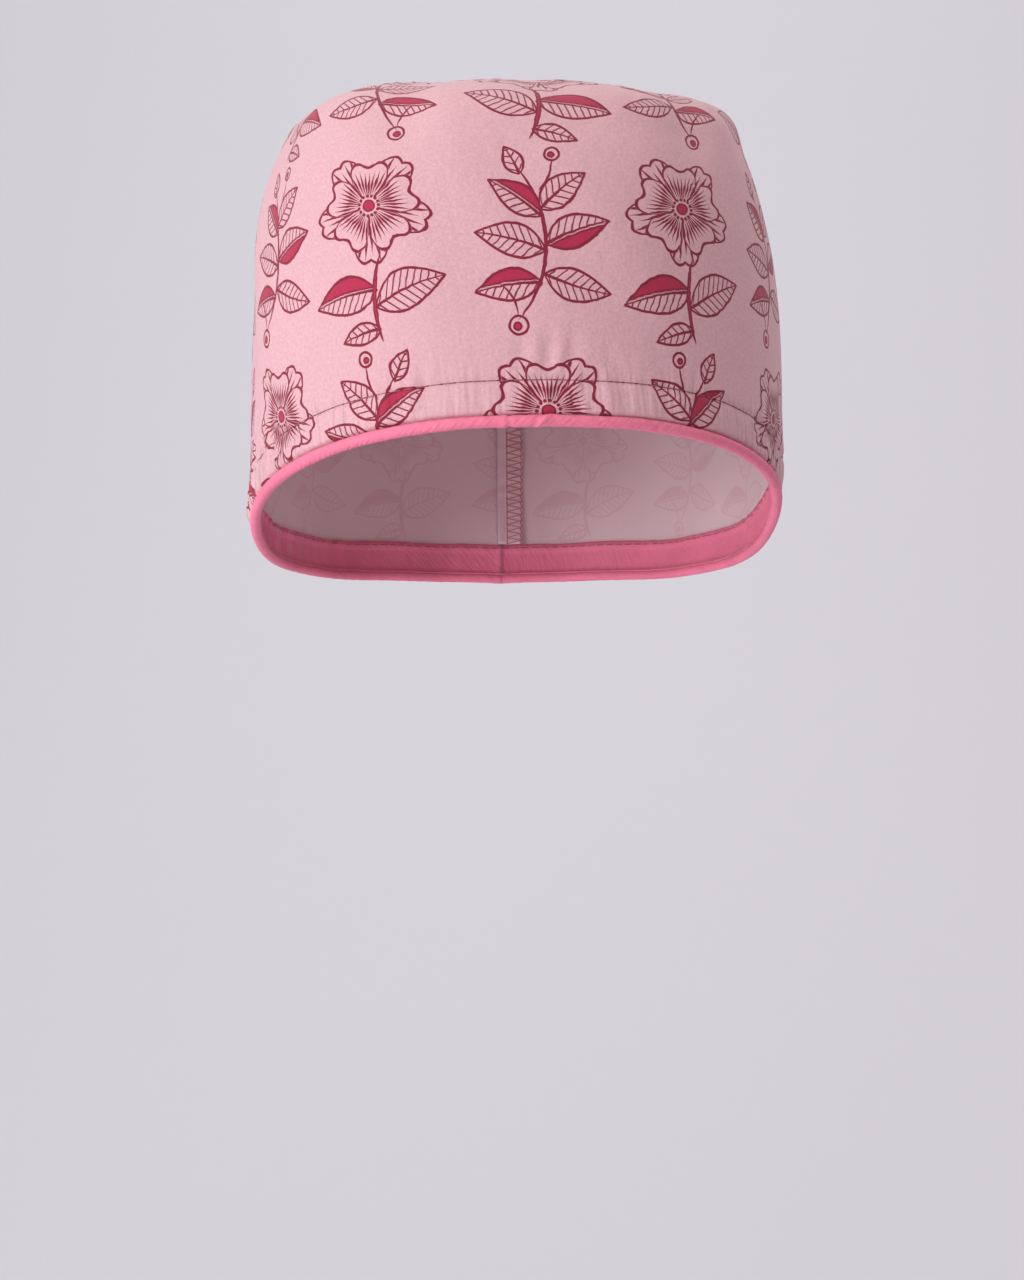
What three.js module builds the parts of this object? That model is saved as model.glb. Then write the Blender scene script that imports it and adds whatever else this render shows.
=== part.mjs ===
// A scrub cap of thin cotton in the shape that it has when worn: a tall side band, an oval crown
// panel, corded piping round the lower edge and a facing inside the hem.
// Millimetres, +Z up. The front of the cap faces -Y and the wearer's left ear is at +X. The origin
// is the middle of the head opening, level with the brow.
import * as THREE from 'three';
import { mergeVertices } from 'three/addons/utils/BufferGeometryUtils.js';

// Sizes of the whole cap
const HALF_WIDTH = 80.5;
const FRONT_REACH = 97;
const BACK_REACH = 103;
const CROWN_HEIGHT = 104;
const NAPE_DROP = 47;

// Cloth, trim and clearance
const CLOTH_WALL = 1.2;
const FACING_WALL = 1.0;
const FACING_HEIGHT = 10;
const PIPING_DIAMETER = 3.2;
const FOLD_DEPTH = 2.4;
const PIECE_GAP = 0.3;

// How finely the solids are divided
const TURN_STEPS = 108;
const HEM_ROWS = 2;
const WALL_ROWS = 6;
const SHOULDER_ROWS = 6;
const CROWN_ROWS = 5;
const PIPING_SIDES = 8;

// Level sections of the outer surface, from the nape to the top. height is a share of
// CROWN_HEIGHT, halfWidth and sideways of HALF_WIDTH, front of FRONT_REACH and back of BACK_REACH.
// rise is the slope upwards to the back, and squareness the oval's exponent, 2 for an ellipse.
const SECTION_COLUMNS = ['name', 'height', 'rise', 'halfWidth', 'front', 'back', 'squareness', 'sideways'];
const SECTION_ROWS = [
  ['nape', -0.5, 0, 0.95, 0.985, 0.87, 2.2, 0],
  ['ear', -0.21, 0, 0.992, 1, 0.96, 2.25, 0],
  ['brow', 0.06, 0, 0.995, 1, 1, 2.3, 0],
  ['temple', 0.33, 0, 0.98, 0.985, 1, 2.33, -0.008],
  ['high', 0.59, 0, 0.94, 0.95, 0.97, 2.38, -0.022],
  ['shoulder', 0.78, 0.045, 0.87, 0.88, 0.9, 2.45, -0.02],
  ['corner', 0.905, 0.06, 0.78, 0.785, 0.8, 2.45, -0.008],
  ['top', 0.942, 0.06, 0.685, 0.685, 0.72, 2.42, -0.006],
  ['seam', 0.961, 0.056, 0.59, 0.58, 0.63, 2.35, -0.004],
  ['tip', 0.981, 0.034, 0.31, 0.3, 0.34, 2.2, -0.002],
  ['apex', 0.99, 0, 0, 0, 0, 2, 0],
];
const SHOULDER_START = 'high';
const CROWN_SEAM = 'seam';

// The lower edge: degrees round from the brow's peak, and the drop there as a share of NAPE_DROP.
const EDGE = [
  { turn: 0, drop: -0.035 },
  { turn: 15, drop: -0.014 },
  { turn: 30, drop: 0.063 },
  { turn: 45, drop: 0.192 },
  { turn: 60, drop: 0.345 },
  { turn: 75, drop: 0.505 },
  { turn: 90, drop: 0.655 },
  { turn: 110, drop: 0.805 },
  { turn: 135, drop: 0.925 },
  { turn: 180, drop: 1 },
];
// The peak of the brow's arch lies this many degrees towards +X.
const PEAK_TURN = 2.5;

// Soft dents (negative) and folds (positive) of the cloth. turn and spread are degrees round from
// the front, height and reach are shares of CROWN_HEIGHT, and depth is a share of FOLD_DEPTH.
const FOLDS = [
  { name: 'dent over the right brow', turn: -23, spread: 6, height: 0.85, reach: 0.11, depth: -0.6 },
  { name: 'swell beside it', turn: -8, spread: 9, height: 0.84, reach: 0.12, depth: 0.35 },
  { name: 'dent over the left brow', turn: 33, spread: 5, height: 0.83, reach: 0.12, depth: -0.7 },
  { name: 'swell at the left corner', turn: 45, spread: 6, height: 0.85, reach: 0.11, depth: 0.4 },
  { name: 'crease over the left ear', turn: 71, spread: 6, height: 0.18, reach: 0.16, depth: -0.3 },
  { name: 'pull over the right ear', turn: -72, spread: 7, height: 0.1, reach: 0.18, depth: -0.3 },
  { name: 'hollow behind the left ear', turn: 126, spread: 8, height: -0.14, reach: 0.22, depth: -0.65 },
  { name: 'roll left of the nape', turn: 141, spread: 6, height: -0.2, reach: 0.26, depth: 0.6 },
  { name: 'fold left of the back seam', turn: 155, spread: 6, height: -0.22, reach: 0.24, depth: -0.7 },
  { name: 'roll left of the back seam', turn: 168, spread: 5, height: -0.25, reach: 0.22, depth: 0.5 },
  { name: 'roll right of the back seam', turn: -167, spread: 5, height: -0.25, reach: 0.2, depth: 0.45 },
  { name: 'fold right of the back seam', turn: -154, spread: 6, height: -0.22, reach: 0.25, depth: -0.65 },
  { name: 'roll right of the nape', turn: -139, spread: 7, height: -0.2, reach: 0.24, depth: 0.55 },
  { name: 'hollow behind the right ear', turn: -124, spread: 8, height: -0.14, reach: 0.2, depth: -0.6 },
  { name: 'flat along the front of the top', turn: 3, spread: 18, height: 0.93, reach: 0.07, depth: -0.36 },
  { name: 'full right corner of the top', turn: -45, spread: 13, height: 0.93, reach: 0.07, depth: 0.38 },
  { name: 'slack over the right temple', turn: -84, spread: 18, height: 0.9, reach: 0.09, depth: 0.2 },
  { name: 'dip at the left of the top', turn: 42, spread: 9, height: 0.93, reach: 0.07, depth: -0.6 },
  { name: 'full left corner of the top', turn: 65, spread: 13, height: 0.92, reach: 0.08, depth: 0.65 },
  { name: 'slack over the left ear', turn: 95, spread: 30, height: 0.42, reach: 0.36, depth: 0.75 },
  { name: 'hem drawn in below the left ear', turn: 95, spread: 30, height: -0.17, reach: 0.11, depth: -0.5 },
];

const PLAIN_PINK = { color: 0xe8929f, roughness: 0.75, metalness: 0 };
const PRINTED_PINK = { color: 0xe3b6be, roughness: 0.88, metalness: 0 };

// A smooth curve through the values ys at the places xs, read at x.
function smoothCurve(xs, ys, x) {
  const last = xs.length - 1;
  let i = 0;
  while (i < last - 1 && x > xs[i + 1]) i += 1;
  const slope = (k) => (ys[k + 1] - ys[k]) / (xs[k + 1] - xs[k]);
  const tangent = (k) => {
    if (k === 0) return slope(0);
    if (k === last) return slope(last - 1);
    const before = xs[k] - xs[k - 1];
    const after = xs[k + 1] - xs[k];
    return (after * slope(k - 1) + before * slope(k)) / (before + after);
  };
  const width = xs[i + 1] - xs[i];
  const t = (x - xs[i]) / width;
  const rise = t * t * (3 - 2 * t);
  const leave = t * (1 - t) * (1 - t) * width * tangent(i);
  const arrive = t * t * (1 - t) * width * tangent(i + 1);
  return ys[i] + rise * (ys[i + 1] - ys[i]) + leave - arrive;
}

// The station of a section is the length of cloth from the lowest one up to it, seen from the front.
const SECTIONS = SECTION_ROWS.map((row) => (
  Object.fromEntries(SECTION_COLUMNS.map((column, i) => [column, row[i]]))
));
const STATIONS = [0];
for (let i = 1; i < SECTIONS.length; i += 1) {
  const up = (SECTIONS[i].height - SECTIONS[i - 1].height) * CROWN_HEIGHT;
  const across = (SECTIONS[i].halfWidth - SECTIONS[i - 1].halfWidth) * HALF_WIDTH;
  STATIONS.push(STATIONS[i - 1] + Math.hypot(up, across));
}
const stationOf = (name) => STATIONS[SECTIONS.findIndex((section) => section.name === name)];
const APEX_STATION = stationOf('apex');
const share = (column, station) => (
  smoothCurve(STATIONS, SECTIONS.map((section) => section[column]), station)
);

// The point of the smooth outer surface at a turn round from the front and a station.
function smoothPoint(turn, station) {
  if (station >= APEX_STATION) return new THREE.Vector3(0, 0, share('height', station) * CROWN_HEIGHT);
  const forward = Math.cos(turn) > 0;
  const reach = forward ? share('front', station) * FRONT_REACH : share('back', station) * BACK_REACH;
  const squareness = share('squareness', station);
  const sideTerm = Math.abs(Math.sin(turn) / (share('halfWidth', station) * HALF_WIDTH)) ** squareness;
  const radius = (sideTerm + Math.abs(Math.cos(turn) / reach) ** squareness) ** (-1 / squareness);
  const y = -radius * Math.cos(turn);
  return new THREE.Vector3(
    radius * Math.sin(turn) + share('sideways', station) * HALF_WIDTH,
    y,
    share('height', station) * CROWN_HEIGHT + share('rise', station) * y,
  );
}

const degreesApart = (a, b) => Math.abs(THREE.MathUtils.euclideanModulo(a - b + 180, 360) - 180);

// How far the folds move the cloth out at a point of the smooth surface. They fade away on the
// crown panel, from its seam to its middle.
function foldDepth(turn, station) {
  const level = share('height', station);
  let depth = 0;
  for (const fold of FOLDS) {
    const aside = degreesApart(THREE.MathUtils.radToDeg(turn), fold.turn) / fold.spread;
    const above = (level - fold.height) / fold.reach;
    depth += fold.depth * FOLD_DEPTH * Math.exp(-aside * aside - above * above);
  }
  const fade = (APEX_STATION - station) / (APEX_STATION - stationOf(CROWN_SEAM));
  return depth * Math.min(1, fade * fade);
}

// Steps along the cloth for measuring the slope of the surface and of its lower edge.
const PROBE = 0.01;
const EDGE_PROBE = 1;

// Outward normal of a surface given as a function of turn and station.
function normalOf(surface, turn, station) {
  if (station >= APEX_STATION) return new THREE.Vector3(0, 0, 1);
  const probeTurn = PROBE / HALF_WIDTH;
  const along = surface(turn + probeTurn, station).sub(surface(turn - probeTurn, station));
  const up = surface(turn, station + PROBE).sub(surface(turn, station - PROBE));
  return along.cross(up).normalize();
}

function foldedPoint(turn, station) {
  const outward = normalOf(smoothPoint, turn, station);
  return smoothPoint(turn, station).addScaledVector(outward, foldDepth(turn, station));
}

// The folded surface, moved inwards by a depth.
function clothPoint(turn, station, depth) {
  return foldedPoint(turn, station).addScaledVector(normalOf(foldedPoint, turn, station), -depth);
}

// The height of the piping's middle line at a turn.
function edgeHeight(turn) {
  const peak = THREE.MathUtils.degToRad(PEAK_TURN) * (1 + Math.cos(turn)) / 2;
  const apart = degreesApart(THREE.MathUtils.radToDeg(turn - peak), 0);
  return -smoothCurve(EDGE.map((row) => row.turn), EDGE.map((row) => row.drop), apart) * NAPE_DROP;
}

// The station at which the wall reaches a height, found by halving.
const HALVINGS = 40;
function stationAtHeight(turn, height) {
  let low = -NAPE_DROP;
  let high = stationOf(SHOULDER_START);
  for (let i = 0; i < HALVINGS; i += 1) {
    const middle = (low + high) / 2;
    if (smoothPoint(turn, middle).z < height) low = middle;
    else high = middle;
  }
  return (low + high) / 2;
}

const edgePoint = (turn) => smoothPoint(turn, stationAtHeight(turn, edgeHeight(turn)));

// The station that lies a distance above the piping's middle line, square to that line.
function stationAboveEdge(turn, distance) {
  const probeTurn = EDGE_PROBE / HALF_WIDTH;
  const before = edgePoint(turn - probeTurn);
  const after = edgePoint(turn + probeTurn);
  const level = Math.hypot(after.x - before.x, after.y - before.y);
  const steepness = Math.hypot(1, (after.z - before.z) / level);
  return stationAtHeight(turn, edgeHeight(turn) + distance * steepness);
}

// Evenly spaced values from start to end, both included.
function spread(start, end, steps) {
  return Array.from({ length: steps + 1 }, (unused, i) => start + (end - start) * i / steps);
}

// A closed body swept through sections, each a closed loop of points. A ring joins its last
// section to its first, and any other sweep has both ends capped, across its wall. The second
// half of a loop, a wall's inner face, splits its quads along the same diagonal as the first.
function sweep(sections, isRing) {
  const count = sections[0].length;
  const triangles = [];
  const steps = isRing ? sections.length : sections.length - 1;
  for (let i = 0; i < steps; i += 1) {
    const here = i * count;
    const next = ((i + 1) % sections.length) * count;
    for (let j = 0; j < count; j += 1) {
      const k = (j + 1) % count;
      const [a, b, c, d] = [here + j, next + j, next + k, here + k];
      if (j < count / 2) triangles.push([a, b, c], [a, c, d]);
      else triangles.push([a, b, d], [b, c, d]);
    }
  }
  if (!isRing) {
    const last = (sections.length - 1) * count;
    for (let j = 0; j < count / 2 - 1; j += 1) {
      const outer = [j, j + 1];
      const inner = [count - 1 - j, count - 2 - j];
      triangles.push([outer[0], inner[1], inner[0]], [outer[0], outer[1], inner[1]]);
      const [a, b, c, d] = [outer[0], inner[0], inner[1], outer[1]].map((index) => last + index);
      triangles.push([a, b, c], [a, c, d]);
    }
  }
  const loose = new THREE.BufferGeometry();
  const positions = sections.flat().flatMap((point) => point.toArray());
  loose.setAttribute('position', new THREE.Float32BufferAttribute(positions, 3));
  loose.setIndex(triangles.flat());
  return withoutEmptyTriangles(mergeVertices(loose));
}

// The triangles that a shared point, such as the middle of the crown, leaves with no area go.
function withoutEmptyTriangles(geometry) {
  const index = geometry.getIndex().array;
  const kept = [];
  for (let i = 0; i < index.length; i += 3) {
    const [a, b, c] = [index[i], index[i + 1], index[i + 2]];
    if (a !== b && b !== c && c !== a) kept.push(a, b, c);
  }
  geometry.setIndex(kept);
  geometry.computeVertexNormals();
  return geometry;
}

// The section of a wall of cloth at one turn: up its outer face and down its inner face.
function wallSection(turn, stations, outerDepth, wall) {
  const outer = stations.map((station) => clothPoint(turn, station, outerDepth));
  const inner = stations.map((station) => clothPoint(turn, station, outerDepth + wall));
  return [...outer, ...inner.reverse()];
}

// The turns of a ring's sections.
const ringTurns = spread(-Math.PI, Math.PI, TURN_STEPS).slice(0, -1);

// Cloth starts this far above the piping's middle line.
const CLOTH_START = PIPING_DIAMETER / 2 + PIECE_GAP;

// The stations of the hem, from the piping to the top of the facing.
function hemStations(turn) {
  const top = stationAboveEdge(turn, CLOTH_START + FACING_HEIGHT);
  return spread(stationAboveEdge(turn, CLOTH_START), top, HEM_ROWS);
}

// The side band: one strip whose ends meet at the middle of the back.
function sideBand() {
  const halfSlit = PIECE_GAP / 2 / BACK_REACH;
  const seam = stationOf(CROWN_SEAM) - PIECE_GAP / 2;
  const sections = spread(-Math.PI + halfSlit, Math.PI - halfSlit, TURN_STEPS).map((turn) => {
    const hem = hemStations(turn);
    const wall = spread(hem.at(-1), stationOf(SHOULDER_START), WALL_ROWS).slice(1);
    const shoulder = spread(stationOf(SHOULDER_START), seam, SHOULDER_ROWS).slice(1);
    return wallSection(turn, [...hem, ...wall, ...shoulder], 0, CLOTH_WALL);
  });
  return sweep(sections, false);
}

// The crown panel: an oval that closes the top inside the seam.
function crownPanel() {
  const stations = spread(stationOf(CROWN_SEAM) + PIECE_GAP / 2, APEX_STATION, CROWN_ROWS);
  return sweep(ringTurns.map((turn) => wallSection(turn, stations, 0, CLOTH_WALL)), true);
}

// The facing: a strip inside the lower edge of the band.
function hemFacing() {
  const depth = CLOTH_WALL + PIECE_GAP;
  return sweep(ringTurns.map((turn) => wallSection(turn, hemStations(turn), depth, FACING_WALL)), true);
}

// The piping: a cord along the lower edge, in line with the middle of the cloth.
function edgePiping() {
  const middle = (turn) => clothPoint(turn, stationAtHeight(turn, edgeHeight(turn)), CLOTH_WALL / 2);
  const probeTurn = PROBE / HALF_WIDTH;
  const sections = ringTurns.map((turn) => {
    const forward = middle(turn + probeTurn).sub(middle(turn - probeTurn)).normalize();
    const outward = normalOf(foldedPoint, turn, stationAtHeight(turn, edgeHeight(turn)));
    const upward = outward.clone().cross(forward).normalize();
    const sideways = forward.clone().cross(upward);
    return spread(0, 2 * Math.PI, PIPING_SIDES).slice(0, -1).map((angle) => middle(turn)
      .addScaledVector(sideways, Math.cos(angle) * PIPING_DIAMETER / 2)
      .addScaledVector(upward, Math.sin(angle) * PIPING_DIAMETER / 2));
  });
  return sweep(sections, true);
}

// One named mesh with its own material.
function piece(name, geometry, finish) {
  const mesh = new THREE.Mesh(geometry, new THREE.MeshStandardMaterial(finish));
  mesh.name = name;
  return mesh;
}

const cap = new THREE.Group();
cap.name = 'scrub_cap';
cap.add(piece('side_band', sideBand(), PRINTED_PINK));
cap.add(piece('crown_panel', crownPanel(), PRINTED_PINK));
cap.add(piece('edge_piping', edgePiping(), PLAIN_PINK));
cap.add(piece('hem_facing', hemFacing(), PLAIN_PINK));

export default cap;
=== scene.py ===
"""A scrub cap in its worn shape: cloth band and crown, corded piping, hem facing and stitching.

Lengths in the shape functions are millimetres, and meshes are scaled to metres when they are made.
The front of the cap faces -Y, +Z is up, and the origin lies level with the piping at the brow.
"""
from math import ceil, cos, pi, radians, sin

import bpy
import numpy as np
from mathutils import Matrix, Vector


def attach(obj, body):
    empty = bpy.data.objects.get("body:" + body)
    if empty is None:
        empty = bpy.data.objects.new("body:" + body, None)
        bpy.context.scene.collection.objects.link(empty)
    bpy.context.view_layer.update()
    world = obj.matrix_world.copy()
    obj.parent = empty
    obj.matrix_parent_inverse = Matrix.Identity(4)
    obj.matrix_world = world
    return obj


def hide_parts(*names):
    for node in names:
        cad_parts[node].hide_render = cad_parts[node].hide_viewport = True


bl_info = {
    "name": "Scrub cap",
    "version": (1, 0, 0),
    "blender": (4, 5, 0),
    "location": "3D View > Sidebar > Scrub cap",
    "description": "Builds a printed cotton scrub cap with piping, stitching, stage and camera",
    "category": "Add Mesh",
}

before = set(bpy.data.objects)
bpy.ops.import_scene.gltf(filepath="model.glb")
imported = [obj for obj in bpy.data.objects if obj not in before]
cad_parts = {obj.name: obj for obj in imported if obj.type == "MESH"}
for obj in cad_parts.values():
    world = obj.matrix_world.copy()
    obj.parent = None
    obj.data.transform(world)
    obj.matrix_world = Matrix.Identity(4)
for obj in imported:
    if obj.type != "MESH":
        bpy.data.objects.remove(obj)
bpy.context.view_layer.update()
MM = 0.001
ROOT = "root"

# The thickness of the walls that the solids have, in millimetres. The piping's middle line lies in
# the middle of the band's wall.
SOLID_WALL = 1.2


# The form of the cap

# Level sections of the outer surface, from the nape to the top. height is a share of the crown's
# height, half_width and sideways of the half width, front and back of the reach each way. rise is
# the slope upwards to the back, and squareness the oval's exponent, 2 for an ellipse.
SECTION_COLUMNS = ("height", "rise", "half_width", "front", "back", "squareness", "sideways")
SECTIONS = {
    "nape": (-0.5, 0, 0.95, 0.985, 0.87, 2.2, 0),
    "ear": (-0.21, 0, 0.992, 1, 0.96, 2.25, 0),
    "brow": (0.06, 0, 0.995, 1, 1, 2.3, 0),
    "temple": (0.33, 0, 0.98, 0.985, 1, 2.33, -0.008),
    "high": (0.59, 0, 0.94, 0.95, 0.97, 2.38, -0.022),
    "shoulder": (0.78, 0.045, 0.87, 0.88, 0.9, 2.45, -0.02),
    "corner": (0.905, 0.06, 0.78, 0.785, 0.8, 2.45, -0.008),
    "top": (0.942, 0.06, 0.685, 0.685, 0.72, 2.42, -0.006),
    "seam": (0.961, 0.056, 0.59, 0.58, 0.63, 2.35, -0.004),
    "tip": (0.981, 0.034, 0.31, 0.3, 0.34, 2.2, -0.002),
    "apex": (0.99, 0, 0, 0, 0, 2, 0),
}

# The lower edge: degrees round from the brow's peak, and the drop as a share of the nape's drop.
EDGE = (
    (0, -0.035), (15, -0.014), (30, 0.063), (45, 0.192), (60, 0.345),
    (75, 0.505), (90, 0.655), (110, 0.805), (135, 0.925), (180, 1),
)

# Soft dents (negative) and folds: degrees round from the front, spread in degrees, height and
# reach as shares of the crown's height, depth as a share of the fold depth.
FOLDS = (
    (-23, 6, 0.85, 0.11, -0.6),
    (-8, 9, 0.84, 0.12, 0.35),
    (33, 5, 0.83, 0.12, -0.7),
    (45, 6, 0.85, 0.11, 0.4),
    (71, 6, 0.18, 0.16, -0.3),
    (-72, 7, 0.1, 0.18, -0.3),
    (126, 8, -0.14, 0.22, -0.65),
    (141, 6, -0.2, 0.26, 0.6),
    (155, 6, -0.22, 0.24, -0.7),
    (168, 5, -0.25, 0.22, 0.5),
    (-167, 5, -0.25, 0.2, 0.45),
    (-154, 6, -0.22, 0.25, -0.65),
    (-139, 7, -0.2, 0.24, 0.55),
    (-124, 8, -0.14, 0.2, -0.6),
    (3, 18, 0.93, 0.07, -0.36),
    (-45, 13, 0.93, 0.07, 0.38),
    (-84, 18, 0.9, 0.09, 0.2),
    (42, 9, 0.93, 0.07, -0.6),
    (65, 13, 0.92, 0.08, 0.65),
    (95, 30, 0.42, 0.36, 0.75),
    (95, 30, -0.17, 0.11, -0.5),
)


# Small folds over the brow, too fine for the solids: degrees round from the front, half width,
# distance above the piping, reach up and down, and depth, in millimetres.
BROW_FOLDS = (
    (-1.9, 1.6, 17.0, 4.5, -0.46),
    (0.2, 1.8, 15.0, 6.0, 0.33),
    (2.3, 2.0, 16.5, 5.5, -0.66),
    (4.1, 1.6, 16.0, 5.0, 0.4),
    (5.9, 2.2, 17.5, 6.0, -0.66),
    (3.7, 1.5, 6.5, 3.0, -0.46),
    (6.6, 1.6, 6.0, 3.5, -0.52),
    (8.0, 1.4, 8.0, 3.0, -0.4),
    (11.5, 2.6, 15.0, 6.0, -0.34),
)


def smooth_curve(xs, ys, x):
    """A smooth curve through the values ys at the places xs, read at x."""
    xs, ys, x = np.asarray(xs, float), np.asarray(ys, float), np.asarray(x, float)
    gaps = np.diff(xs)
    slopes = np.diff(ys) / gaps
    tangents = np.zeros_like(ys)
    tangents[1:-1] = (gaps[1:] * slopes[:-1] + gaps[:-1] * slopes[1:]) / (gaps[1:] + gaps[:-1])
    tangents[0], tangents[-1] = slopes[0], slopes[-1]
    i = np.clip(np.searchsorted(xs, x) - 1, 0, len(xs) - 2)
    t = (x - xs[i]) / gaps[i]
    rise = t * t * (3 - 2 * t)
    leave = t * (1 - t) ** 2 * gaps[i] * tangents[i]
    arrive = t * t * (1 - t) * gaps[i] * tangents[i + 1]
    return ys[i] + rise * (ys[i + 1] - ys[i]) + leave - arrive


def degrees_apart(a, b):
    return np.abs((a - b + 180) % 360 - 180)


def hill(distance, spread):
    """1 at no distance, falling away smoothly to nothing past the spread."""
    return np.exp(-(distance / spread) ** 2)


def eased(x, start, end):
    """0 before start, 1 past end and smooth between."""
    t = np.clip((x - start) / (end - start), 0, 1)
    return t * t * (3 - 2 * t)


def waves(seed, shortest, longest, count=9):
    """A function of length that wanders between about -1 and 1, in waves of those lengths."""
    random = np.random.default_rng(seed)
    lengths = np.geomspace(shortest, longest, count) * random.uniform(0.9, 1.1, count)
    phases = random.uniform(0, 2 * pi, count)
    sizes = np.sqrt(lengths) / np.sqrt(lengths).sum() * 2

    def wander(s):
        s = np.asarray(s, float)[..., None]
        return (sizes * np.sin(2 * pi * s / lengths + phases)).sum(-1)

    return wander


class Form:
    """The cap's surface, as functions of the turn round from the front and of the station, the
    distance up the cloth. All depths and widths are millimetres."""

    PROBE = 0.02
    EDGE_PROBE = 1.0
    HALVINGS = 34
    PUCKER_DEPTH = 0.72
    PUFF_DEPTH = 0.4
    SLACK_DEPTH = 0.85
    STITCH_SINK, STITCH_SINK_WIDTH = 0.5, 0.95
    SEAM_SINK, SEAM_SINK_WIDTH, SEAM_SWELL, SEAM_SWELL_WIDTH = 0.75, 1.15, 0.3, 7.0
    BACK_SINK, BACK_SINK_WIDTH, BACK_SWELL, BACK_SWELL_WIDTH = 0.6, 1.0, 0.22, 6
    SEAM_PUCKER, BACK_PUCKER = 0.3, 0.26

    def __init__(self, sizes):
        self.sizes = sizes
        self.half_width = sizes.half_width / MM
        self.front_reach = sizes.front_reach / MM
        self.back_reach = sizes.back_reach / MM
        self.crown_height = sizes.crown_height / MM
        self.nape_drop = sizes.nape_drop / MM
        self.fold_depth = sizes.fold_depth / MM
        self.piping_radius = sizes.piping_diameter / MM / 2
        self.stitch_rise = sizes.stitch_height / MM
        table = np.array(list(SECTIONS.values()), float)
        self.columns = dict(zip(SECTION_COLUMNS, table.T))
        up = np.diff(self.columns["height"]) * self.crown_height
        across = np.diff(self.columns["half_width"]) * self.half_width
        self.stations = np.concatenate([[0], np.cumsum(np.hypot(up, across))])
        self.pucker = waves(3, 5.0, 11.0)
        self.slack = waves(7, 26.0, 95.0)
        self.lean = waves(19, 38.0, 120.0)
        self.seam_pucker = waves(5, 4.5, 11.0)

    def station(self, name):
        return self.stations[list(SECTIONS).index(name)]

    def share(self, column, station):
        return smooth_curve(self.stations, self.columns[column], station)

    def smooth_point(self, turn, station):
        """A point of the plain surface, before its folds."""
        turn, station = np.broadcast_arrays(np.asarray(turn, float), np.asarray(station, float))
        station = np.minimum(station, self.station("apex") - 1e-4)
        forward = np.cos(turn) > 0
        front = self.share("front", station) * self.front_reach
        back = self.share("back", station) * self.back_reach
        reach = np.where(forward, front, back)
        squareness = self.share("squareness", station)
        half = self.share("half_width", station) * self.half_width
        side_term = np.abs(np.sin(turn) / half) ** squareness
        radius = (side_term + np.abs(np.cos(turn) / reach) ** squareness) ** (-1 / squareness)
        y = -radius * np.cos(turn)
        x = radius * np.sin(turn) + self.share("sideways", station) * self.half_width
        z = self.share("height", station) * self.crown_height + self.share("rise", station) * y
        return np.stack([x, y, z], -1)

    def normals(self, surface, turn, station):
        step = self.PROBE / self.half_width
        along = surface(turn + step, station) - surface(turn - step, station)
        up = surface(turn, station) - surface(turn, station - self.PROBE)
        across = np.cross(along, up)
        return across / np.linalg.norm(across, axis=-1, keepdims=True)

    def edge_height(self, turn):
        """The height of the piping's middle line."""
        peak = radians(self.sizes.peak_turn) * (1 + np.cos(turn)) / 2
        apart = degrees_apart(np.degrees(turn - peak), 0)
        turns, drops = zip(*EDGE)
        return -smooth_curve(turns, drops, apart) * self.nape_drop

    def station_at_height(self, turn, height):
        turn, height = np.broadcast_arrays(np.asarray(turn, float), np.asarray(height, float))
        low = np.full(turn.shape, -self.nape_drop)
        high = np.full(turn.shape, self.station("high"))
        for _ in range(self.HALVINGS):
            middle = (low + high) / 2
            below = self.smooth_point(turn, middle)[..., 2] < height
            low = np.where(below, middle, low)
            high = np.where(below, high, middle)
        return (low + high) / 2

    def edge_steepness(self, turn):
        step = self.EDGE_PROBE / self.half_width
        ends = [
            self.smooth_point(t, self.station_at_height(t, self.edge_height(t)))
            for t in (turn - step, turn + step)
        ]
        run = ends[1] - ends[0]
        return np.hypot(1, run[..., 2] / np.hypot(run[..., 0], run[..., 1]))

    def station_above_edge(self, turn, distance):
        """The station that lies a distance above the piping's middle line, square to it."""
        height = self.edge_height(turn) + distance * self.edge_steepness(turn)
        return self.station_at_height(turn, height)

    def big_folds(self, turn, station):
        """The folds that the solids have too."""
        level = self.share("height", station)
        depth = 0.0
        for at, spread, height, reach, share in FOLDS:
            aside = degrees_apart(np.degrees(turn), at)
            size = share * self.fold_depth
            depth = depth + size * hill(aside, spread) * hill(level - height, reach)
        fade = (self.station("apex") - station) / (self.station("apex") - self.station("seam"))
        return depth * np.minimum(1, fade * fade)

    def fine_folds(self, turn, station):
        """Puckers along the hem and seams, and the slack of thin cloth, in millimetres outwards."""
        rise = self.rise(turn, station)
        along = turn * (self.half_width + self.front_reach) / 2
        above_stitch = rise - self.stitch_rise
        sides = hill(degrees_apart(np.abs(np.degrees(turn)), 82), 36) + 0.28
        length = 5.5 + 2.5 * self.slack(along * 3 + 50)
        below = 1 - 0.45 * hill(rise - 2, 2.2)
        strength = np.where(above_stitch > 0, hill(above_stitch, length), below)
        strength = strength * (0.3 + 0.7 * eased(rise, 1, 6))
        right_hand = 1 + 0.3 * np.tanh(-turn)
        ruck = self.pucker(along + 0.12 * rise) * self.PUCKER_DEPTH * right_hand * sides * strength
        for at, half, height, reach, depth in BROW_FOLDS:
            aside = (turn - radians(at)) * self.front_reach
            leaning = aside - 0.12 * (rise - height)
            ruck = ruck + depth * hill(leaning, half) * hill(rise - height, reach)
        puff = self.PUFF_DEPTH * np.sin(pi * np.clip(rise / self.stitch_rise, 0, 1) ** 0.75)
        groove = -self.STITCH_SINK * hill(above_stitch, self.STITCH_SINK_WIDTH)
        body = eased(rise, 6, 40)
        sag = self.slack(along + 0.25 * rise) * self.lean(rise * 0.8 + along * 0.6)
        wander = self.SLACK_DEPTH * body * sag
        to_seam = station - self.station("seam")
        near_seam = hill(to_seam, self.SEAM_SWELL_WIDTH)
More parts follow.
